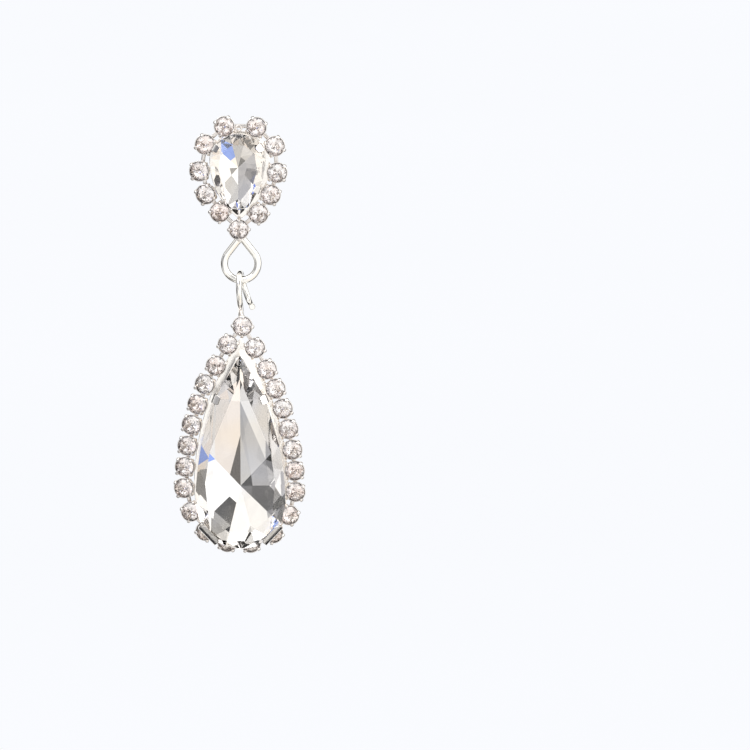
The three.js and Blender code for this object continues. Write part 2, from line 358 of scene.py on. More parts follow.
def range_between(nodes, links, source, low, high):
    mapped = nodes.new("ShaderNodeMapRange")
    mapped.inputs["From Min"].default_value = 0.3
    mapped.inputs["From Max"].default_value = 0.7
    mapped.inputs["To Min"].default_value = low
    mapped.inputs["To Max"].default_value = high
    links.new(source, mapped.inputs["Value"])
    return mapped.outputs["Result"]


# %% Silver plate
# Painted shade and tarnish: this dark colour goes into the seats, prong ends and links, where the
# crevices lie in shadow.
TARNISH_AND_SHADE = (0.26, 0.235, 0.22)


def silver_plate(name, bright, dull, rough_low, rough_high, scratch):
    material, nodes, links, shader = new_material(name)
    shader.inputs["Metallic"].default_value = 1.0
    patches = object_noise(nodes, links, 420, 3.0)
    plated = ramp_between(nodes, links, patches.outputs["Fac"], dull, bright)
    # Painted shade: the attribute mixes the dark colour in where the cups' crevices lie in shadow,
    # as well as for tarnish.
    crevice = nodes.new("ShaderNodeAttribute")
    crevice.attribute_name = "tarnish_and_shade"
    blend = nodes.new("ShaderNodeMix")
    blend.data_type = "RGBA"
    blend_colours = [s for s in blend.inputs if s.type == "RGBA"]
    links.new(crevice.outputs["Fac"], blend.inputs["Factor"])
    links.new(plated, blend_colours[0])
    blend_colours[1].default_value = (*TARNISH_AND_SHADE, 1)
    blended = [s for s in blend.outputs if s.type == "RGBA"][0]
    links.new(blended, shader.inputs["Base Color"])
    wear = object_noise(nodes, links, 2600, 2.0)
    links.new(
        range_between(nodes, links, wear.outputs["Fac"], rough_low, rough_high),
        shader.inputs["Roughness"],
    )
    hairlines = object_noise(nodes, links, 4000, 2.0, (1, 1, 9), (0.4, 0.9, 0.2))
    bump = nodes.new("ShaderNodeBump")
    bump.inputs["Strength"].default_value = scratch
    bump.inputs["Distance"].default_value = 0.00002
    links.new(hairlines.outputs["Fac"], bump.inputs["Height"])
    links.new(bump.outputs["Normal"], shader.inputs["Normal"])
    return material


cup_silver = silver_plate(
    "cup_silver", (0.96, 0.94, 0.92), (0.84, 0.79, 0.75), 0.06, 0.16, 0.15
)
wire_silver = silver_plate(
    "wire_silver", (0.97, 0.96, 0.93), (0.92, 0.90, 0.85), 0.03, 0.09, 0.1
)
setting_silver = silver_plate(
    "setting_silver", (0.96, 0.94, 0.91), (0.90, 0.87, 0.83), 0.08, 0.16, 0.2
)

# %% [markdown]
# ## Cut glass with a foiled back
#
# These crystals are glass with a high index, and their lower facets carry a silver foil, so
# light goes in through the crown, bounces between the facets and comes out again. The crown is a
# clear shader that bends light, and the pavilion is a mirror of its own. The mirror, together with
# painted shade, gives the large crystals their sharp white, grey and dark panes: the long and inner
# foiled facets each have a listed brightness that darkens what they reflect. The foil has a faint
# cloudy tint, as the real lacquered foil has.


# %% Crystal and foil
def crystal_glass(name, tint):
    material, nodes, links, shader = new_material(name)
    shader.inputs["Transmission Weight"].default_value = 1.0
    shader.inputs["IOR"].default_value = 1.5
    shader.inputs["Roughness"].default_value = 0.0
    cloud = object_noise(nodes, links, 260, 1.0)
    links.new(
        ramp_between(nodes, links, cloud.outputs["Fac"], tint, (1, 1, 1)),
        shader.inputs["Base Color"],
    )
    return material


def foil(name, cool, warm, cloud_scale, rough):
    material, nodes, links, shader = new_material(name)
    shader.inputs["Metallic"].default_value = 1.0
    shader.inputs["Roughness"].default_value = rough
    cloud = object_noise(nodes, links, cloud_scale, 1.0)
    tint = ramp_between(nodes, links, cloud.outputs["Fac"], cool, warm, 0.4, 0.6)
    # Painted shade: each foiled facet's own listed brightness multiplies the foil colour, standing
    # in for the light, grey and dark panes it reflects.
    tone_and_painted_shade = nodes.new("ShaderNodeAttribute")
    tone_and_painted_shade.attribute_name = "tone_and_painted_shade"
    shade = nodes.new("ShaderNodeVectorMath")
    shade.operation = "MULTIPLY"
    links.new(tint, shade.inputs[0])
    links.new(tone_and_painted_shade.outputs["Vector"], shade.inputs[1])
    links.new(shade.outputs["Vector"], shader.inputs["Base Color"])
    return material


pear_glass = crystal_glass("pear_crystal_glass", (1.0, 0.99, 0.975))
pear_foil = foil("pear_crystal_foil", (0.97, 0.97, 0.99), (0.99, 0.96, 0.92), 150, 0.015)
round_glass = crystal_glass("round_crystal_glass", (1.0, 0.985, 0.975))
round_foil = foil("round_crystal_foil", (0.98, 0.97, 0.97), (0.99, 0.94, 0.92), 500, 0.03)

# %% [markdown]
# ## How a stone is cut
#
# A round and a pear crystal share one plan. A flat table on top is joined to the girdle by star
# facets and kites, and the pavilion below has long main facets that meet in the culet, with
# short ones between them, and a small star of inner facets round the culet. One function cuts both: it gets the table's corners, the girdle's
# points in turn (a break, a main, a break, ...), and the culet. The girdle is a narrow band.


# %% Cutting a stone
BELT_DROP = 0.02
FOILED_PER_MAIN = 4


def cut_stone(table, girdle, culet, heights, lower_share, inner_shares):
    """Points, faces and which faces are foiled. girdle alternates break, main, break, main;
    the table has one corner over each break."""
    count = len(table)
    points = [Vector((x, y, heights["table"])) for x, y in table]
    upper = len(points)
    points += [Vector((x, y, heights["crown"])) for x, y in girdle]
    lower = len(points)
    points += [Vector((x, y, heights["girdle"])) for x, y in girdle]
    knees = len(points)
    bottom = Vector((*culet, heights["culet"]))
    for i in range(count):
        x, y = girdle[2 * i]
        edge = Vector((x, y, heights["girdle"]))
        knee = edge.lerp(bottom, lower_share)
        knee.z -= (heights["girdle"] - heights["culet"]) * 0.035
        points.append(knee)
    inner = len(points)
    for i in range(count):
        belt = bottom.lerp(points[knees + i], inner_shares[i])
        belt.z -= (heights["girdle"] - heights["culet"]) * BELT_DROP
        points.append(belt)
    points.append(bottom)
    tip = len(points) - 1
    faces, foiled = [tuple(range(count))], [False]
    around = 2 * count
    for i in range(count):
        before, brk, main, nxt = (2 * i - 1) % around, 2 * i, 2 * i + 1, (2 * i + 2) % around
        faces += [
            (i, upper + before, upper + brk),
            (i, upper + brk, upper + main),
            (i, upper + main, (i + 1) % count),
        ]
        foiled += [False] * 3
        after = (i + 1) % count
        faces += [
            (knees + i, lower + main, lower + brk),
            (knees + after, lower + nxt, lower + main),
            (inner + i, inner + after, knees + after, lower + main, knees + i),
            (tip, inner + after, inner + i),
        ]
        foiled += [True] * FOILED_PER_MAIN
    for i in range(around):
        after = (i + 1) % around
        faces.append((upper + i, lower + i, lower + after, upper + after))
        foiled.append(True)
    return points, faces, foiled


SIDE_TONES = (0.55, 0.8, 0.95, 1.0)
# Painted reflection: a blue put into a foiled facet's colour, standing in for a flash of split
# light.
BLUE_FLASH = (0.3, 0.45, 1.0)


def mark_foil(made, foiled, outer_painted_shades, inner_painted_shades, flashes=()):
    """Keeps which faces are foiled as an attribute and as the second material. Each foiled
    facet has its own tone: painted shade from one of the lists for the long and the inner facet,
    chance for the two small ones at the girdle. Those in flashes are painted the blue of split
    light."""
    flags = made.data.attributes.new("foiled", "BOOLEAN", "FACE")
    flags.data.foreach_set("value", foiled)
    made.data.polygons.foreach_set("material_index", [int(f) for f in foiled])
    chance = random.Random(len(foiled))
    tones_and_painted_shades = [1.0] * len(foiled)
    behind = [i for i, is_foiled in enumerate(foiled) if is_foiled]
    for k, index in enumerate(behind[: FOILED_PER_MAIN * len(outer_painted_shades)]):
        main, part = divmod(k, FOILED_PER_MAIN)
        side = chance.choice(SIDE_TONES)
        tones_and_painted_shades[index] = (side, side, outer_painted_shades[main], inner_painted_shades[main])[part]
        if (main, part) in flashes:
            tones_and_painted_shades[index] = BLUE_FLASH
    tone_and_shade_layer = made.data.attributes.new("tone_and_painted_shade", "FLOAT_COLOR", "CORNER")
    for polygon, tone_and_painted_shade in zip(made.data.polygons, tones_and_painted_shades):
        colour = tone_and_painted_shade if isinstance(tone_and_painted_shade, tuple) else (tone_and_painted_shade, tone_and_painted_shade, tone_and_painted_shade)
        for corner in polygon.loop_indices:
            tone_and_shade_layer.data[corner].color = (*colour, 1)


# %% [markdown]
# ## The large crystals
#
# The corners of the pear cut are set by rays from the culet. One edge runs to the point and one
# facet lies square across the round end, and the others share the sides, so the list is only the
# angle of each ray. The table is a smaller pear, nearer the point at its blunt end, because the
# crown is wider there.


# %% Pear crystals
BREAK_ANGLES = (48, 3, -43, -76)
MAIN_ANGLES = (74, 27, -20, -60)


def pear_crystal(name, pear, node, sizes):
    low, high = (to_face(corner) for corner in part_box(node))
    heights = {"table": max(low.z, high.z)}
    heights["crown"] = heights["table"] - sizes["crown"]
    heights["girdle"] = heights["crown"] - sizes["girdle"]
    heights["culet"] = heights["girdle"] - sizes["pavilion"]
    culet = (pear.x, pear.y + pear.point * sizes["culet_shift"])
    top = Pear(
        pear.x,
        pear.y + pear.point * sizes["table_shift"],
        sizes["table_round"],
        sizes["table_reach"],
        pear.point,
    )
    stations = [0.0]
    for main, brk in zip(MAIN_ANGLES, BREAK_ANGLES):
        stations += [pear.towards(culet, main), pear.towards(culet, brk)]
    mains = stations[1::2]
    breaks = stations[2::2]
    right = [item for pair in zip(mains, breaks) for item in pair] + [pear.half]
    left = [-s for s in reversed(right[:-1])]
    girdle = [pear.at(s)[0] for s in [0.0] + right + left]
    share = top.half / pear.half
    corners = [0.0, *breaks, *(-s for s in reversed(breaks))]
    table = [top.at(s * share)[0] for s in corners]
    inner_shares = [sizes["inner_at_point"]] + [sizes["inner"]] * (len(table) - 1)
    points, faces, foiled = cut_stone(
        table, girdle, culet, heights, sizes["lower_share"], inner_shares
    )
    placed = [from_face(*p) for p in points]
    made = mesh_object(name, placed, faces, [pear_glass, pear_foil], smooth=False)
    mark_foil(made, foiled, sizes["outer_painted_shades"], sizes["inner_painted_shades"], sizes["flashes"])
    print(name, len(faces), "facets")
    return made


stud_crystal = pear_crystal(
    "stud_pear_crystal",
    stud_pear,
    "stud_stone",
    {
        "crown": 0.95,
        "pavilion": 1.15,
        "girdle": 0.2,
        "culet_shift": 1.0,
        "table_round": 2.6,
        "table_reach": 5.3,
        "table_shift": 0.35,
        "lower_share": 0.35,
        "inner_at_point": 0.55,
        "inner": 0.5,
        # Painted shade: the two lists below darken the long and inner foiled facets pane by pane;
        # the flash is a painted blue reflection.
        "outer_painted_shades": (1.0, 1.0, 1.0, 0.8, 0.6, 0.9, 1.0, 0.95, 0.5),
        "inner_painted_shades": (1.0, 1.0, 1.0, 0.25, 0.6, 1.0, 1.0, 0.3, 0.9),
        "flashes": ((5, 2),),
    },
)
drop_crystal = pear_crystal(
    "drop_pear_crystal",
    drop_pear,
    "drop_stone",
    {
        "crown": 1.45,
        "pavilion": 2.0,
        "girdle": 0.25,
        "culet_shift": 2.4,
        "table_round": 4.73,
        "table_reach": 16.2,
        "table_shift": 1.03,
        "lower_share": 0.35,
        "inner_at_point": 0.6,
        "inner": 0.42,
        # Painted shade: the two lists below darken the long and inner foiled facets pane by pane;
        # the flash is a painted blue reflection.
        "outer_painted_shades": (0.88, 0.72, 0.28, 0.9, 1.0, 0.32, 1.0, 0.92, 0.85),
        "inner_painted_shades": (0.62, 0.16, 0.4, 0.85, 0.95, 1.0, 1.0, 0.9, 0.14),
        "flashes": ((7, 1),),
    },
)

# %% [markdown]
# ## A cup of the chain
#
# Each cup is pressed from thin sheet: a shallow round bowl with a rim, and four narrow prongs
# that are bent over the stone. It could be modelled 34 times, or copied by an array, but the
# chain bends and rolls as it follows the pear. So one cup and one stone are made here as
# patterns, and a node tree will set them along the chain.

# %% Cup pattern
CUP_STEPS = 32
# radius, height, and tarnish with painted shade, up the outside, over the rim and down into the seat
CUP_PROFILE = (
    (0.72, 0.0, 0.0),
    (0.92, 0.06, 0.1),
    (1.16, 0.30, 0.0),
    (1.33, 0.62, 0.0),
    (1.385, 0.95, 0.1),
    (1.395, 1.24, 0.0),
    (1.38, 1.30, 0.0),
    (1.34, 1.32, 0.05),
    (1.29, 1.30, 0.55),
    (1.26, 1.20, 0.8),
    (1.0, 0.86, 0.8),
    (0.5, 0.42, 0.8),
)
# distance out, height, half the width, half the thickness, and tarnish with painted shade
PRONG_PATH = (
    (1.36, 0.72, 0.20, 0.08, 0.6),
    (1.45, 1.00, 0.21, 0.12, 0.1),
    (1.475, 1.28, 0.21, 0.13, 0.0),
    (1.45, 1.52, 0.205, 0.13, 0.0),
    (1.35, 1.72, 0.20, 0.13, 0.0),
    (1.19, 1.80, 0.19, 0.12, 0.25),
    (1.07, 1.79, 0.15, 0.08, 0.9),
)
PRONG_SIDES = 8


def turned_ring(radius, height, steps):
    angles = [2 * math.pi * i / steps for i in range(steps)]
    return [Vector((radius * math.cos(a), radius * math.sin(a), height)) for a in angles]


def prong(path, heading):
    """A flat wire bent over the stone. Each station has a distance out, a height, half the
    width and half the thickness; the section is an octagon."""
    rings = []
    for i, (out, up, half_width, half_thick, _) in enumerate(path):
        ahead = path[min(i + 1, len(path) - 1)]
        behind = path[max(i - 1, 0)]
        run = Vector((ahead[0] - behind[0], ahead[1] - behind[1])).normalized()
        across = Vector((run.y, -run.x))
        ring = []
        for k in range(PRONG_SIDES):
            angle = 2 * math.pi * (k + 0.5) / PRONG_SIDES
            wide = half_width * math.cos(angle) * 1.08
            thick = half_thick * math.sin(angle) * 1.08
            ring.append(Vector((out + across.x * thick, wide, up + across.y * thick)))
        rings.append(ring)
    turn = Matrix.Rotation(heading, 3, "Z")
    return skin([[turn @ p for p in ring] for ring in rings])


def pattern(name, parts, tarnish_and_shade):
    """A pattern for the node tree, in millimetres, with how much tarnish and painted shade darken
    each point.
    """
    points, faces = merge_parts(parts)
    made = mesh_object(name, points, faces, [], smooth=True)
    made.data.attributes.new("tarnish_and_shade", "FLOAT", "POINT").data.foreach_set("value", tarnish_and_shade)
    smooth_by_angle(made, 50)
    return made


cup_bowl = skin([turned_ring(radius, height, CUP_STEPS) for radius, height, _ in CUP_PROFILE])
cup_prongs = [prong(PRONG_PATH, math.radians(45 + 90 * i)) for i in range(4)]
bowl_tarnish_and_shade = [row[-1] for row in CUP_PROFILE for _ in range(CUP_STEPS)]
prong_tarnish_and_shade = [row[-1] for row in PRONG_PATH for _ in range(PRONG_SIDES)]
cup_tarnish_and_shade = bowl_tarnish_and_shade + prong_tarnish_and_shade * len(cup_prongs)
cup_pattern = pattern("cup_pattern", [cup_bowl, *cup_prongs], cup_tarnish_and_shade)
print("one cup:", len(cup_pattern.data.polygons), "faces")

# %% [markdown]
# ## A round stone
#
# The small stones are eight-fold: a table, eight stars, eight kites split in two and a pavilion
# of eight mains. They are cut by the same function, and the foil is remembered as an attribute
# so that the tree can give those faces their own material.

# %% Round stone pattern
ROUND_HEIGHTS = {"culet": 0.42, "girdle": 1.3, "crown": 1.38, "table": 1.82}
ROUND_GIRDLE = 1.235
ROUND_TABLE = 0.68
FOLD = 8
# Painted shade: these darken some foiled facets of the small stones.
ROUND_PAINTED_SHADES = (1.0, 0.96, 1.0, 0.8, 1.0, 0.94, 1.0, 0.88)


def circle_points(radius, count, start=0.0):
    return [
        (radius * math.cos(a), radius * math.sin(a))
        for a in (start + 2 * math.pi * i / count for i in range(count))
    ]


round_table = circle_points(ROUND_TABLE, FOLD)
round_points, round_faces, round_foiled = cut_stone(
    round_table, circle_points(ROUND_GIRDLE, 2 * FOLD), (0, 0), ROUND_HEIGHTS, 0.45, [0.5] * FOLD
)
stone_pattern = mesh_object(
    "stone_pattern", round_points, round_faces, [round_glass, round_foil], smooth=False
)
mark_foil(stone_pattern, round_foiled, ROUND_PAINTED_SHADES, ROUND_PAINTED_SHADES[::-1])
print("one round stone:", len(round_faces), "facets")

# %% [markdown]
# ## The links
#
# Between two cups the chain is a narrow flat bar. The pattern is one millimetre long, and the
# tree stretches it to the gap that it has to bridge.

# %% Link pattern
LINK_HALF_WIDTH = 0.26
LINK_LOW, LINK_HIGH = 0.14, 0.40


def bar(half_length, half_width, low, high, edge):
    """A flat bar along x with bevelled long edges."""
    section = [
        (-half_width, low + edge),
        (-half_width + edge, low),
        (half_width - edge, low),
        (half_width, low + edge),
        (half_width, high - edge),
        (half_width - edge, high),
        (-half_width + edge, high),
        (-half_width, high - edge),
    ]
    return skin([[Vector((x, y, z)) for y, z in section] for x in (-half_length, half_length)])


link_bar = bar(0.5, LINK_HALF_WIDTH, LINK_LOW, LINK_HIGH, 0.05)
# Painted shade: the links are darkened a little all over, as tarnish and as shade between the cups.
link_pattern = pattern("link_pattern", [link_bar], [0.3] * len(link_bar[0]))

# %% [markdown]
# ## The chain as a node tree
#
# One tree sets any pattern along the chain. It gets a mesh that has only points, each with three
# attributes: where the cup faces, which way is its outside, and how far to stretch. Instance on
# Points places the pattern, a seeded random turn makes the stones differ, Realize Instances
# makes them real, and Set Material paints them: once for the metal or glass and once more for
# the foiled faces.


# %% Chain tree
def new_tree(name, inputs):
    tree = bpy.data.node_groups.new(name, "GeometryNodeTree")
    tree.interface.new_socket("Geometry", in_out="INPUT", socket_type="NodeSocketGeometry")
    for title, kind in inputs:
        tree.interface.new_socket(title, in_out="INPUT", socket_type=kind)
    tree.interface.new_socket("Geometry", in_out="OUTPUT", socket_type="NodeSocketGeometry")
    return tree


def named_vector(tree, name):
    read = tree.nodes.new("GeometryNodeInputNamedAttribute")
    read.data_type = "FLOAT_VECTOR"
    read.inputs["Name"].default_value = name
    return read.outputs["Attribute"]


CHAIN_INPUTS = (
    ("Pattern", "NodeSocketObject"),
    ("Surface", "NodeSocketMaterial"),
    ("Foil", "NodeSocketMaterial"),
    ("Turn", "NodeSocketFloat"),
    ("Seed", "NodeSocketInt"),
)


def chain_tree():
    tree = new_tree("set_along_chain", CHAIN_INPUTS)
    nodes, links = tree.nodes, tree.links
    entry, leave = nodes.new("NodeGroupInput"), nodes.new("NodeGroupOutput")
    info = nodes.new("GeometryNodeObjectInfo")
    info.inputs["As Instance"].default_value = True
    links.new(entry.outputs["Pattern"], info.inputs["Object"])
    facing = nodes.new("FunctionNodeAxesToRotation")
    facing.primary_axis, facing.secondary_axis = "Z", "X"
    links.new(named_vector(tree, "face"), facing.inputs["Primary Axis"])
    links.new(named_vector(tree, "outward"), facing.inputs["Secondary Axis"])
    chance = nodes.new("FunctionNodeRandomValue")
    chance.data_type = "FLOAT"
    negative = nodes.new("ShaderNodeMath")
    negative.operation = "MULTIPLY"
    negative.inputs[1].default_value = -1
    links.new(entry.outputs["Turn"], negative.inputs[0])
    float_inputs = [s for s in chance.inputs if s.type == "VALUE"]
    links.new(negative.outputs[0], float_inputs[0])
    links.new(entry.outputs["Turn"], float_inputs[1])
    links.new(entry.outputs["Seed"], chance.inputs["Seed"])
    spin = nodes.new("FunctionNodeAxisAngleToRotation")
    spin.inputs["Axis"].default_value = (0, 0, 1)
    links.new([s for s in chance.outputs if s.type == "VALUE"][0], spin.inputs["Angle"])
    turned = nodes.new("FunctionNodeRotateRotation")
    turned.rotation_space = "LOCAL"
    links.new(facing.outputs["Rotation"], turned.inputs["Rotation"])
    links.new(spin.outputs["Rotation"], turned.inputs["Rotate By"])
    place = nodes.new("GeometryNodeInstanceOnPoints")
    links.new(entry.outputs["Geometry"], place.inputs["Points"])
    links.new(info.outputs["Geometry"], place.inputs["Instance"])
    links.new(turned.outputs["Rotation"], place.inputs["Rotation"])
    links.new(named_vector(tree, "stretch"), place.inputs["Scale"])
    real = nodes.new("GeometryNodeRealizeInstances")
    links.new(place.outputs["Instances"], real.inputs["Geometry"])
    surface = nodes.new("GeometryNodeSetMaterial")
    links.new(real.outputs["Geometry"], surface.inputs["Geometry"])
    links.new(entry.outputs["Surface"], surface.inputs["Material"])
    foiled = nodes.new("GeometryNodeInputNamedAttribute")
    foiled.data_type = "BOOLEAN"
    foiled.inputs["Name"].default_value = "foiled"
    back = nodes.new("GeometryNodeSetMaterial")
    links.new(surface.outputs["Geometry"], back.inputs["Geometry"])
    links.new(foiled.outputs["Attribute"], back.inputs["Selection"])
    links.new(entry.outputs["Foil"], back.inputs["Material"])
    links.new(back.outputs["Geometry"], leave.inputs["Geometry"])
    return tree


SET_ALONG_CHAIN = chain_tree()


def direction_from_face(v):
    return Vector((v.x, -v.z, v.y))


def set_pattern(name, places, values, smooth_angle=None):
    """Runs the tree over places and returns the result as a plain mesh object."""
    mesh = bpy.data.meshes.new(name)
    mesh.from_pydata([tuple(from_face(*p["base"])) for p in places], [], [])
    for title in ("face", "outward", "stretch"):
        layer = mesh.attributes.new(title, "FLOAT_VECTOR", "POINT")
        for i, p in enumerate(places):
            value = p.get("stretch", Vector((1, 1, 1))) * MM
            layer.data[i].vector = value if title == "stretch" else direction_from_face(p[title])
    carrier = bpy.data.objects.new(f"{name}_points", mesh)
    bpy.context.scene.collection.objects.link(carrier)
    modifier = carrier.modifiers.new("chain", "NODES")
    modifier.node_group = SET_ALONG_CHAIN
    for item in SET_ALONG_CHAIN.interface.items_tree:
        if item.in_out == "INPUT" and item.name in values:
            modifier[item.identifier] = values[item.name]
    graph = bpy.context.evaluated_depsgraph_get()
    graph.update()
    result = bpy.data.meshes.new_from_object(carrier.evaluated_get(graph))
    result.name = name
    made = bpy.data.objects.new(name, result)
    bpy.context.scene.collection.objects.link(made)
    carrier.modifiers.remove(modifier)
    bpy.data.objects.remove(carrier)
    print(name, len(result.polygons), "faces from", len(places), "places")
    return made


# %% [markdown]
# ## Setting the chain
#
# The same tree runs three times for each cluster: cups, links and stones. The stones turn by
# chance about their own axis, which is what makes each one sparkle in its own way.


# %% Cups, links and stones
def link_places(cups):
    places = []
    for cup, after in zip(cups, cups[1:] + cups[:1]):
        gap = after["base"] - cup["base"]
        gap.z = 0
        length = gap.length
        middle = (cup["base"] + after["base"]) / 2
        middle.z = min(cup["base"].z, after["base"].z)
        places.append(
            {
                "base": middle,
                "face": Vector((0, 0, 1)),
                "outward": gap.normalized(),
                "stretch": Vector((length - 1.9, 1, 1)),
            }
        )
    return places


def chain_pieces(cluster, cups, seed):
    stones = [name for name in bodies[cluster] if "brilliant" in name]
    metal = {"Surface": cup_silver, "Foil": cup_silver, "Turn": 0.0, "Seed": 0}
    glass = {"Surface": round_glass, "Foil": round_foil, "Turn": 3.1, "Seed": seed}
    made_cups = set_pattern(f"{cluster}_cups", cups, {**metal, "Pattern": cup_pattern, "Turn": 0.06})
    made_links = set_pattern(
        f"{cluster}_chain_links", link_places(cups), {**metal, "Pattern": link_pattern}
    )
    made_stones = set_pattern(
        f"{cluster}_round_crystals", cups, {**glass, "Pattern": stone_pattern}
    )
    return made_cups, made_links, made_stones, stones


stud_chain = chain_pieces("stud", stud_cups, 4)
drop_chain = chain_pieces("drop", drop_cups, 11)
for used in (cup_pattern, stone_pattern, link_pattern):
    bpy.data.objects.remove(used)

# %% [markdown]
# ## The claw settings
#
# A pear crystal sits in a collet: a thin tapering wall on a flat back. Its top edge stops just
# under the girdle, and four claws come out of it, go round the girdle and are pressed down over
# the crown. The lower claws of the drop are wide tabs, the others are narrow. The wall is a skin
# through inset pears, and a claw is a bent strip with rounded edges.

# %% Collets and claws
PEAR_STEPS = 96
WALL = 0.3


def collet(pear, back, stations):
    """stations: (height above the back, inset) going up. The skin goes up outside, over the
    edge and down inside."""
    outside = [(height, inset) for height, inset in stations]
    top_height, top_inset = stations[-1]
    lip = [(top_height + 0.05, top_inset + 0.06), (top_height + 0.05, top_inset + WALL - 0.06)]
    inside = [(height, inset + WALL) for height, inset in reversed(stations)]
    rings = [
        [Vector((x, y, back + height)) for x, y in pear.inset(inset).ring(PEAR_STEPS)]
        for height, inset in outside + lip + inside
    ]
    return skin(rings)


def plate(pear, back, thickness, edge=0.06):
    """The flat back, with a small bevel all round."""
    levels = ((0, edge), (edge, 0), (thickness - edge, 0), (thickness, edge))
    return skin(
        [
            [Vector((x, y, back + height)) for x, y in pear.inset(inset).ring(PEAR_STEPS)]
            for height, inset in levels
        ]
    )


def claw_path(girdle, crown, slope, lap):
    """The strip's middle line, out from the girdle's edge and up, above the back."""
    return (
        (-0.52, girdle - 0.78),
        (-0.10, girdle - 0.45),
        (0.16, girdle - 0.12),
        (0.21, girdle + 0.12),
        (0.18, crown + 0.14),
        (0.02, crown + 0.34),
        (-lap * 0.5, crown + lap * 0.5 * slope + 0.27),
        (-lap, crown + lap * slope + 0.22),
    )


def claw(pear, back, along, half_width, path, half_thick=0.11):
    (x, y), (out_x, out_y) = pear.at(along)
    edge, outward = Vector((x, y, back)), Vector((out_x, out_y, 0))
    side = Vector((-out_y, out_x, 0))
    rings = []
    for i, (out, up) in enumerate(path):
        ahead, behind = path[min(i + 1, len(path) - 1)], path[max(i - 1, 0)]
        run = Vector((ahead[0] - behind[0], ahead[1] - behind[1])).normalized()
        across = outward * run.y - Vector((0, 0, run.x))
        round_edge = 0.05
        taper = 0.8 if i == len(path) - 1 else 1.0
        wide, thick = half_width * taper, half_thick * taper
        corners = (
            (wide, thick - round_edge),
            (wide - round_edge, thick),
            (-wide + round_edge, thick),
            (-wide, thick - round_edge),
            (-wide, -thick + round_edge),
            (-wide + round_edge, -thick),
            (wide - round_edge, -thick),
            (wide, -thick + round_edge),
        )
        middle = edge + outward * out + Vector((0, 0, up))
        rings.append([middle + side * w + across * t for w, t in corners])
    return skin(rings)


CLUSTERS = {
    "stud": {
        "pear": stud_pear,
        "wall": ((0.3, 0.9), (1.1, 0.6), (1.9, 0.25)),
        "girdle": 2.2,
        "crown": 2.4,
        "slope": 0.95 / 0.96,
        "claws": ((10.4, 0.52, 0.62), (4.5, 0.48, 0.62)),
    },
    "drop": {
        "pear": drop_pear,
        "wall": ((0.3, 2.3), (1.95, 1.5), (2.7, 0.92), (3.5, 0.3)),
        "girdle": 3.9,
        "crown": 4.15,
        "slope": 1.45 / 1.27,
        "claws": ((6.95, 0.62, 0.62), (26.15, 1.62, 0.72)),
    },
}
PLATE_THICKNESS = 0.5
PLATE_GROWTH = {"stud": (-0.25, 0.45), "drop": (1.47, 0.3)}


def setting_pieces(cluster):
    sizes = CLUSTERS[cluster]
    pear, back = sizes["pear"], back_plane(cluster)
    wall = collet(pear, back, sizes["wall"])
    lift, grow = PLATE_GROWTH[cluster]
    base = Pear(0, pear.y + lift, pear.round + grow, pear.reach + grow, pear.point)
    body = mesh_object(
        f"{cluster}_setting",
        *[
            [from_face(*p) for p in points] if i == 0 else points
            for i, points in enumerate(merge_parts([wall, plate(base, back, PLATE_THICKNESS)]))
        ],
        [setting_silver],
        smooth=True,
    )
    smooth_by_angle(body, 35)
    strips = []
    for along, half_width, lap in sizes["claws"]:
        path = claw_path(sizes["girdle"], sizes["crown"], sizes["slope"], lap)
        strips += [claw(pear, back, hand * along, half_width, path) for hand in (-1, 1)]
    points, faces = merge_parts(strips)
    tabs = mesh_object(
        f"{cluster}_claws", [from_face(*p) for p in points], faces, [setting_silver], smooth=True
    )
    smooth_by_angle(tabs, 40)
    return body, tabs


stud_setting = setting_pieces("stud")
drop_setting = setting_pieces("drop")

# %% [markdown]
# ## The closing ring
#
# A chain laid round in a pear has two ends, and on the stud they meet at the top, where a tiny
# ring of wire closes the gap between the last cups. It is one small torus.

# %% Closing ring
RING_PLACE = Vector((-0.11, 4.42, 0.9))
RING_RADIUS, RING_WIRE = 0.36, 0.13


def torus(middle, radius, wire_radius, steps=28, sides=12):
    rings = []
    for i in range(steps):
        angle = 2 * math.pi * i / steps
        out = Vector((math.cos(angle), math.sin(angle), 0))
        ring = []
        for k in range(sides):
            turn = 2 * math.pi * k / sides
            reach = radius + wire_radius * math.cos(turn)
            ring.append(middle + out * reach + Vector((0, 0, wire_radius * math.sin(turn))))
        rings.append(ring)
    return skin(rings, closed=True)


ring_points, ring_faces = torus(RING_PLACE, RING_RADIUS, RING_WIRE)
closing_ring = mesh_object(
    "stud_closing_ring", [from_face(*p) for p in ring_points], ring_faces, [cup_silver], smooth=True
)

# %% [markdown]
# ## Wire parts
#
# The eye under the stud, the loop on the drop and the ear post are drawn wire. A swept circle
# makes them: the path's points are given in the plane of the bend, and the ring of each point
# stands square to the path. The loop ends in a cut, so its end is flat with a small round edge.

# %% Wires
WIRE_SIDES = 20
WIRE_STEPS = 90


def curve_through(points, steps):
    """Even steps along a uniform Catmull-Rom curve through points."""
    spline = []
    padded = [points[0] * 2 - points[1], *points, points[-1] * 2 - points[-2]]
    for p0, p1, p2, p3 in zip(padded, padded[1:], padded[2:], padded[3:]):
        for i in range(24):
            t = i / 24
            spline.append(
                0.5
                * (
                    2 * p1
                    + (p2 - p0) * t
                    + (2 * p0 - 5 * p1 + 4 * p2 - p3) * t * t
                    + (3 * p1 - p0 - 3 * p2 + p3) * t**3
                )
            )
    spline.append(points[-1].copy())
    lengths = [0.0]
    for a, b in zip(spline, spline[1:]):
        lengths.append(lengths[-1] + (b - a).length)
    placed, k = [], 0
    for i in range(steps + 1):
        target = lengths[-1] * i / steps
        while k < len(lengths) - 2 and lengths[k + 1] < target:
            k += 1
        share = (target - lengths[k]) / max(lengths[k + 1] - lengths[k], 1e-9)
        placed.append(spline[k].lerp(spline[k + 1], min(share, 1.0)))
    return placed


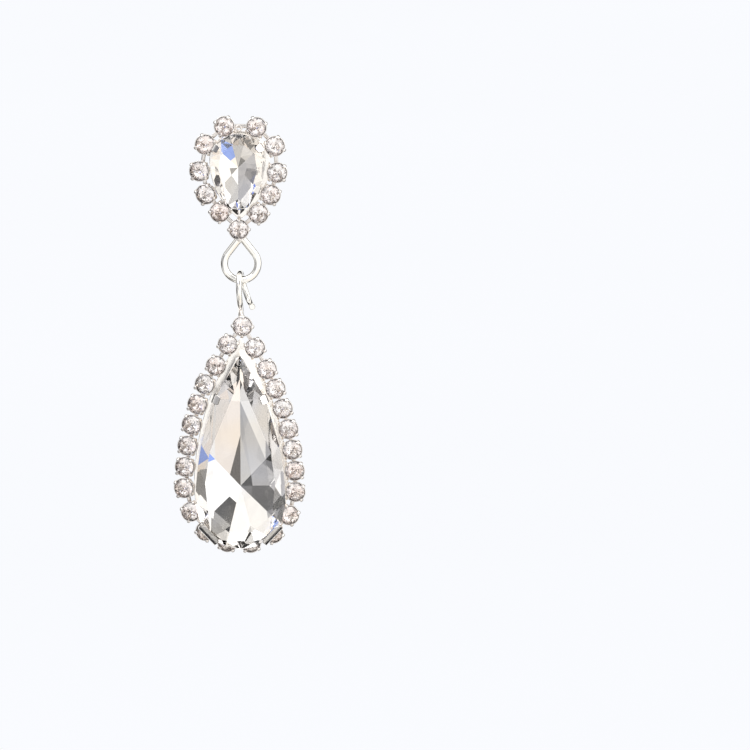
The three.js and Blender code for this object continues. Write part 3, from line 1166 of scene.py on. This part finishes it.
def wire(points, radius, across, rounded_ends=True):
    rings = []
    for i, point in enumerate(points):
        tangent = (points[min(i + 1, len(points) - 1)] - points[max(i - 1, 0)]).normalized()
        normal = across.cross(tangent).normalized()
        binormal = tangent.cross(normal)
        rings.append(
            [
                point
                + normal * radius * math.cos(2 * math.pi * k / WIRE_SIDES)
                + binormal * radius * math.sin(2 * math.pi * k / WIRE_SIDES)
                for k in range(WIRE_SIDES)
            ]
        )
    if rounded_ends:
        for end, inner in ((0, 1), (-1, -2)):
            away = (points[end] - points[inner]).normalized()
            cap = [points[end] + away * radius * 0.18 + (p - points[end]) * 0.82 for p in rings[end]]
            rings.insert(0, cap) if end == 0 else rings.append(cap)
    return skin(rings)


def wire_object(name, parts, material):
    points, faces = merge_parts(parts)
    made = mesh_object(name, [from_face(*p) for p in points], faces, [material], smooth=True)
    smooth_by_angle(made, 45)
    return made


# %% [markdown]
# The eye is a teardrop: two straight stretches from the lowest cup that run into a circle. The
# joint says where the circle's lowest point is, because the drop swings about it.

# %% Eye, loop and post
joint = frame["joints"][0]
pivot = to_face(Vector(joint["pos_m"]))
EYE_RADIUS, EYE_WIRE, LOOP_WIRE, LOOP_PLAY = 2.23, 0.5, 0.4, 0.08
EYE_TOP = 5.65

eye_middle = Vector((pivot.x, pivot.y + EYE_RADIUS, pivot.z))
tangency = math.acos(EYE_RADIUS / (EYE_TOP - EYE_RADIUS))


def eye_path():
    top = Vector((pivot.x, pivot.y + EYE_TOP, pivot.z))
    spread = Vector((0.16, 0, 0))
    arc = []
    for i in range(61):
        angle = tangency + (2 * math.pi - 2 * tangency) * i / 60
        offset = Vector((-math.sin(angle), math.cos(angle), 0)) * EYE_RADIUS
        arc.append(eye_middle + offset)
    start = [(top - spread).lerp(arc[0], i / 8) for i in range(8)]
    finish = [arc[-1].lerp(top + spread, (i + 1) / 8) for i in range(8)]
    return start + arc + finish


stud_eye = wire_object(
    "stud_wire_eye", [wire(eye_path(), EYE_WIRE, Vector((0, 0, 1)))], wire_silver
)

LOOP_ROUTE = (
    (0.10, 6.2, -1.25),
    (0.06, 5.15, -0.5),
    (0.0, 3.9, 1.1),
    (-0.12, 2.1, 1.62),
    (-0.10, 0.55, 1.02),
    (0.0, 0.0, 0.0),
    (0.16, 0.55, -1.02),
    (0.5, 2.1, -1.62),
    (1.05, 3.7, -1.35),
    (1.5, 4.45, -0.5),
    (1.62, 4.55, 0.2),
)
loop_top = pivot.y + EYE_WIRE + LOOP_WIRE + LOOP_PLAY
loop_knots = [Vector((x, loop_top - down, pivot.z + forward)) for x, down, forward in LOOP_ROUTE]
drop_loop = wire_object(
    "drop_wire_loop",
    [wire(curve_through(loop_knots, WIRE_STEPS), LOOP_WIRE, Vector((1, 0, 0)))],
    wire_silver,
)

post_low, post_high = (to_face(corner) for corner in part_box("stud_frame"))
POST_RADIUS = 0.4
post_tip = min(post_low.z, post_high.z)
POST_PROFILE = (
    (0.3, POST_RADIUS),
    (post_tip + 2.4, POST_RADIUS),
    (post_tip + 2.2, POST_RADIUS - 0.06),
    (post_tip + 1.9, POST_RADIUS - 0.06),
    (post_tip + 1.7, POST_RADIUS),
    (post_tip + 0.5, POST_RADIUS),
    (post_tip + 0.12, POST_RADIUS * 0.72),
    (post_tip, POST_RADIUS * 0.4),
)
ear_post = wire_object(
    "ear_post_pin",
    [skin([turned_ring(radius, height, 24) for height, radius in POST_PROFILE])],
    wire_silver,
)

# %% [markdown]
# ## Bodies
#
# Every piece rides on the body it belongs to, so the drop can swing, and the parts of the
# imported model that it stands for are hidden.


# %% Ride and replace
def belongs(piece, body, slot, *nodes):
    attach(piece, body)
    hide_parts(*nodes)


for cluster, chain, crystal, metal in (
    ("stud", stud_chain, stud_crystal, [*stud_setting, closing_ring, stud_eye, ear_post]),
    ("drop", drop_chain, drop_crystal, [*drop_setting, drop_loop]),
):
    made_cups, made_links, made_stones, stone_nodes = chain
    for piece in (made_cups, made_links, *metal):
        belongs(piece, cluster, "silver_plate", f"{cluster}_frame")
    belongs(made_stones, cluster, "crystal", *stone_nodes)
    belongs(crystal, cluster, "crystal", f"{cluster}_stone")

# %% [markdown]
# ## Studio
#
# Cut glass and plating show what surrounds them, so the studio is painted as a dome of panels.
# A jeweller's light tent is mostly white, with a darker gap where the camera looks in and grey
# cards on one side, and those give the facets and wires their dark edges. Each panel is a round
# patch of the sky: the direction of the ray is compared with the middle of the panel, and the
# edge is a little soft. The camera itself sees only a plain pale background.

# %% Painted dome
world = bpy.data.worlds.new("studio_world")
bpy.context.scene.world = world
world.use_nodes = True
sky_nodes, sky_links = world.node_tree.nodes, world.node_tree.links
sky = sky_nodes["Background"]
BACKGROUND = (0.955, 0.968, 1.0)
DOME_COLOUR = (1.14, 1.13, 1.115)
# azimuth 0 is the camera's side and 90 the right; then elevation, radius, edge, colour
PANELS = (
    ("floor_side", 0, -90, 62, 10, (0.98, 0.96, 0.93)),
    ("dark_ring_behind", 180, -9, 79, 2, (0.02, 0.02, 0.025)),
    ("pale_back", 180, -9, 48, 3, (1.05, 1.05, 1.05)),
    ("grey_card_back", 168, -16, 16, 4, (0.45, 0.45, 0.46)),
    ("tent_right", 68, 22, 38, 8, (1.4, 1.38, 1.35)),
    ("tent_top", 10, 78, 30, 6, (1.5, 1.48, 1.45)),
    ("grey_card_left", -62, 2, 30, 2, (0.50, 0.50, 0.52)),
    ("dark_card_left", -66, 14, 13, 1, (0.22, 0.22, 0.24)),
    ("strip_on_card", -58, 20, 4, 1, (1.5, 1.48, 1.42)),
    ("camera_gap", 4, 8, 9, 3, (0.45, 0.45, 0.47)),
    ("warm_low_right", 40, -38, 18, 5, (1.12, 1.02, 0.92)),
    ("blue_card", -30, 40, 8, 2, (0.22, 0.34, 1.0)),
    ("dark_low_left", -20, -40, 9, 2, (0.06, 0.06, 0.06)),
    ("dark_high_right", 30, 34, 10, 2, (0.05, 0.05, 0.06)),
    ("dark_high_left", -52, 52, 8, 2, (0.06, 0.05, 0.05)),
    ("dark_low", -64, -52, 12, 2, (0.08, 0.06, 0.05)),
    ("dark_far_left", -88, -8, 9, 2, (0.05, 0.04, 0.04)),
    ("dark_top_middle", -5, 58, 6, 1, (0.05, 0.05, 0.05)),
)


def direction_of(azimuth, elevation):
    a, e = math.radians(azimuth), math.radians(elevation)
    return Vector((math.sin(a) * math.cos(e), -math.cos(a) * math.cos(e), math.sin(e)))


def paint_panel(under, direction, radius, edge, colour):
    """Mixes a round patch over the colour socket under and returns the new colour socket."""
    compare = sky_nodes.new("ShaderNodeVectorMath")
    compare.operation = "DOT_PRODUCT"
    compare.inputs[1].default_value = direction
    sky_links.new(sky_direction, compare.inputs[0])
    inside = sky_nodes.new("ShaderNodeMapRange")
    inside.interpolation_type = "SMOOTHSTEP"
    inside.inputs["From Min"].default_value = math.cos(math.radians(radius + edge))
    inside.inputs["From Max"].default_value = math.cos(math.radians(radius))
    sky_links.new(compare.outputs["Value"], inside.inputs["Value"])
    mix = sky_nodes.new("ShaderNodeMix")
    mix.data_type = "RGBA"
    colours = [s for s in mix.inputs if s.type == "RGBA"]
    sky_links.new(inside.outputs["Result"], mix.inputs["Factor"])
    if isinstance(under, tuple):
        colours[0].default_value = (*under, 1)
    else:
        sky_links.new(under, colours[0])
    colours[1].default_value = (*colour, 1)
    return [s for s in mix.outputs if s.type == "RGBA"][0]


sky_direction = sky_nodes.new("ShaderNodeTexCoord").outputs["Generated"]
painted = DOME_COLOUR
for _, azimuth, elevation, radius, edge, colour in PANELS:
    painted = paint_panel(painted, direction_of(azimuth, elevation), radius, edge, colour)
seen = sky_nodes.new("ShaderNodeLightPath")
choose = sky_nodes.new("ShaderNodeMix")
choose.data_type = "RGBA"
choose_colours = [s for s in choose.inputs if s.type == "RGBA"]
sky_links.new(seen.outputs["Is Camera Ray"], choose.inputs["Factor"])
sky_links.new(painted, choose_colours[0])
choose_colours[1].default_value = (*BACKGROUND, 1)
sky_links.new([s for s in choose.outputs if s.type == "RGBA"][0], sky.inputs["Color"])
bpy.context.scene.view_settings.view_transform = "Standard"
bpy.context.scene.cycles.max_bounces = 16
bpy.context.scene.cycles.glossy_bounces = 10
print("panels on the dome:", len(PANELS))

# %% [markdown]
# The floor is a pale light table: it glows softly, so no shadow shows under the hanging drop. It
# is left out of reflections, where the lower half of the painted dome takes its place. A white
# floor there would make the undersides of the wires vanish.

# %% Floor
FLOOR_GAP = 0.03
FLOOR_SIZE = 12.0
floor_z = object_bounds()[0].z - FLOOR_GAP
half = FLOOR_SIZE / 2
floor_material, floor_nodes, floor_links, floor_shader = new_material("pale_floor")
floor_shader.inputs["Roughness"].default_value = 1.0
floor_shader.inputs["Specular IOR Level"].default_value = 0.0
floor_shader.inputs["Base Color"].default_value = (0, 0, 0, 1)
floor_noise = object_noise(floor_nodes, floor_links, 5, 2.0)
floor_links.new(
    ramp_between(
        floor_nodes,
        floor_links,
        floor_noise.outputs["Fac"],
        tuple(0.992 * c for c in BACKGROUND),
        BACKGROUND,
    ),
    floor_shader.inputs["Emission Color"],
)
floor_shader.inputs["Emission Strength"].default_value = 1.0
corners = ((-half, -half), (half, -half), (half, half), (-half, half))
floor = mesh_object(
    "studio_floor",
    [(x, y, floor_z) for x, y in corners],
    [(0, 1, 2, 3)],
    [floor_material],
    smooth=False,
)
floor.visible_glossy = False
floor.visible_transmission = False

# %% [markdown]
# Two soft boxes add the clear rectangular lights that polished wire and glass facets catch.


# %% Lights
def soft_box(name, azimuth, elevation, distance, width, height, strength, colour):
    """A soft box that looks at the earring; azimuth and elevation as on the dome."""
    away = direction_of(azimuth, elevation)
    data = bpy.data.lights.new(name, "AREA")
    data.shape = "RECTANGLE"
    data.size, data.size_y = width, height
    data.energy = strength * width * height
    data.color = colour
    light = bpy.data.objects.new(name, data)
    light.location = Vector((0, 0, -0.03)) + away * distance
    light.rotation_euler = away.to_track_quat("Z", "Y").to_euler()
    light.visible_camera = False
    bpy.context.scene.collection.objects.link(light)
    return light


soft_box("key_left", -50, 50, 1.2, 0.5, 0.7, 9.0, (1.0, 0.995, 0.98))
soft_box("edge_right", 80, 30, 1.2, 0.22, 0.8, 7.0, (1.0, 0.99, 0.97))
